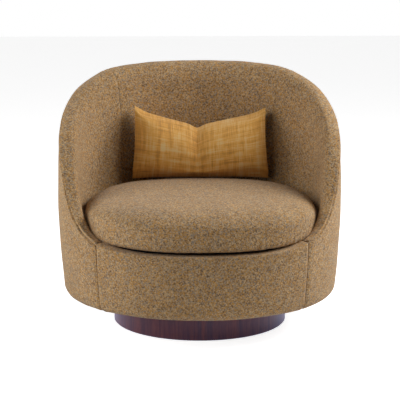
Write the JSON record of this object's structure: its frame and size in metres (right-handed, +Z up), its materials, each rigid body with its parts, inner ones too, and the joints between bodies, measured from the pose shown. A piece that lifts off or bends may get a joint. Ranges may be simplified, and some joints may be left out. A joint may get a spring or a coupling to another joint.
{
  "type": "swivel chair",
  "caption": "Upholstered barrel swivel chair: low rounded back and arms, loose crowned seat cushion, loose lumbar pillow, round wooden plinth that hides a ball-bearing swivel.",
  "frame": {"origin": "centre of the plinth on the floor, on the swivel axis", "axes": "+Z up, the sitter faces -Y, +X is the sitter's left"},
  "size_m": [0.886, 0.8712, 0.782],
  "materials": {
    "upholstery_fabric": "tweed weave",
    "pillow_fabric": "slubby linen weave",
    "padding": "soft wadding",
    "cushion_foam": "open foam",
    "pillow_filling": "feather and fibre filling",
    "lining_cloth": "black non-woven cloth",
    "fibreboard": "raw fibreboard",
    "plywood": "raw plywood",
    "stained_wood": "dark walnut stain, satin lacquer",
    "glide_plastic": "matt",
    "plated_steel": "zinc plated",
    "bright_steel": "bright",
    "spring_steel": "oiled",
    "zip_plastic": "matt"
  },
  "bodies": {
    "base": {"plinth_ring": "stained_wood", "plinth_glides": "glide_plastic", "plinth_blocks": "plywood", "plinth_block_screws": "bright_steel", "plinth_top_board": "plywood", "swivel_lower_plate": "plated_steel", "lower_plate_bolts": "bright_steel", "pivot_bolt": "bright_steel", "pivot_nut": "bright_steel", "pivot_lower_washer": "bright_steel", "pivot_thrust_washer": "bright_steel"},
    "ball_ring": {"ball_cage": "plated_steel", "bearing_balls": "bright_steel"},
    "chair_body": {"arm_padding_left": "padding", "arm_padding_right": "padding", "back_padding": "padding", "base_board": "plywood", "deck_cover": "lining_cloth", "deck_pad": "padding", "deck_ring": "plywood", "dust_cover": "lining_cloth", "front_rail": "plywood", "front_rail_cover": "upholstery_fabric", "front_rail_padding": "padding", "inside_arm_cover_left": "upholstery_fabric", "inside_arm_cover_right": "upholstery_fabric", "inside_back_cover": "upholstery_fabric", "outside_cover": "upholstery_fabric", "outside_lining": "fibreboard", "rib_arm_back_left": "plywood", "rib_arm_back_right": "plywood", "rib_arm_front_left": "plywood", "rib_arm_front_right": "plywood", "rib_back_left": "plywood", "rib_back_right": "plywood", "rib_centre": "plywood", "rib_corner_left": "plywood", "rib_corner_right": "plywood", "rib_front_left": "plywood", "rib_front_right": "plywood", "rib_screws": "bright_steel", "seat_springs": "spring_steel", "spring_clips": "spring_steel", "swivel_upper_plate": "plated_steel", "tee_nuts": "bright_steel", "top_rail": "plywood", "upper_plate_bolts": "bright_steel"},
    "seat_cushion": {"seat_cushion_cover": "upholstery_fabric", "seat_cushion_core": "cushion_foam", "seat_cushion_zip": "zip_plastic"},
    "lumbar_pillow": {"pillow_cover": "pillow_fabric", "pillow_insert": "pillow_filling", "pillow_zip": "zip_plastic"}
  },
  "joints": [
    {"name": "swivel", "type": "hinge", "parent": "base", "child": "chair_body", "pos_m": [0, 0, 0.0953], "axis": [0, 0, 1], "continuous": true},
    {"name": "ball_ring_roll", "type": "hinge", "parent": "base", "child": "ball_ring", "pos_m": [0, 0, 0.0953], "axis": [0, 0, 1], "continuous": true},
    {"name": "cushion_lift", "type": "slide", "parent": "chair_body", "child": "seat_cushion", "axis": [0, 0, 1], "range_m": [0, 0.45]},
    {"name": "pillow_lift", "type": "slide", "parent": "seat_cushion", "child": "lumbar_pillow", "axis": [0, 0, 1], "range_m": [0, 0.34]}
  ],
  "couplings": [
    {"joint": "ball_ring_roll", "follows": "swivel", "ratio": 0.5}
  ]
}
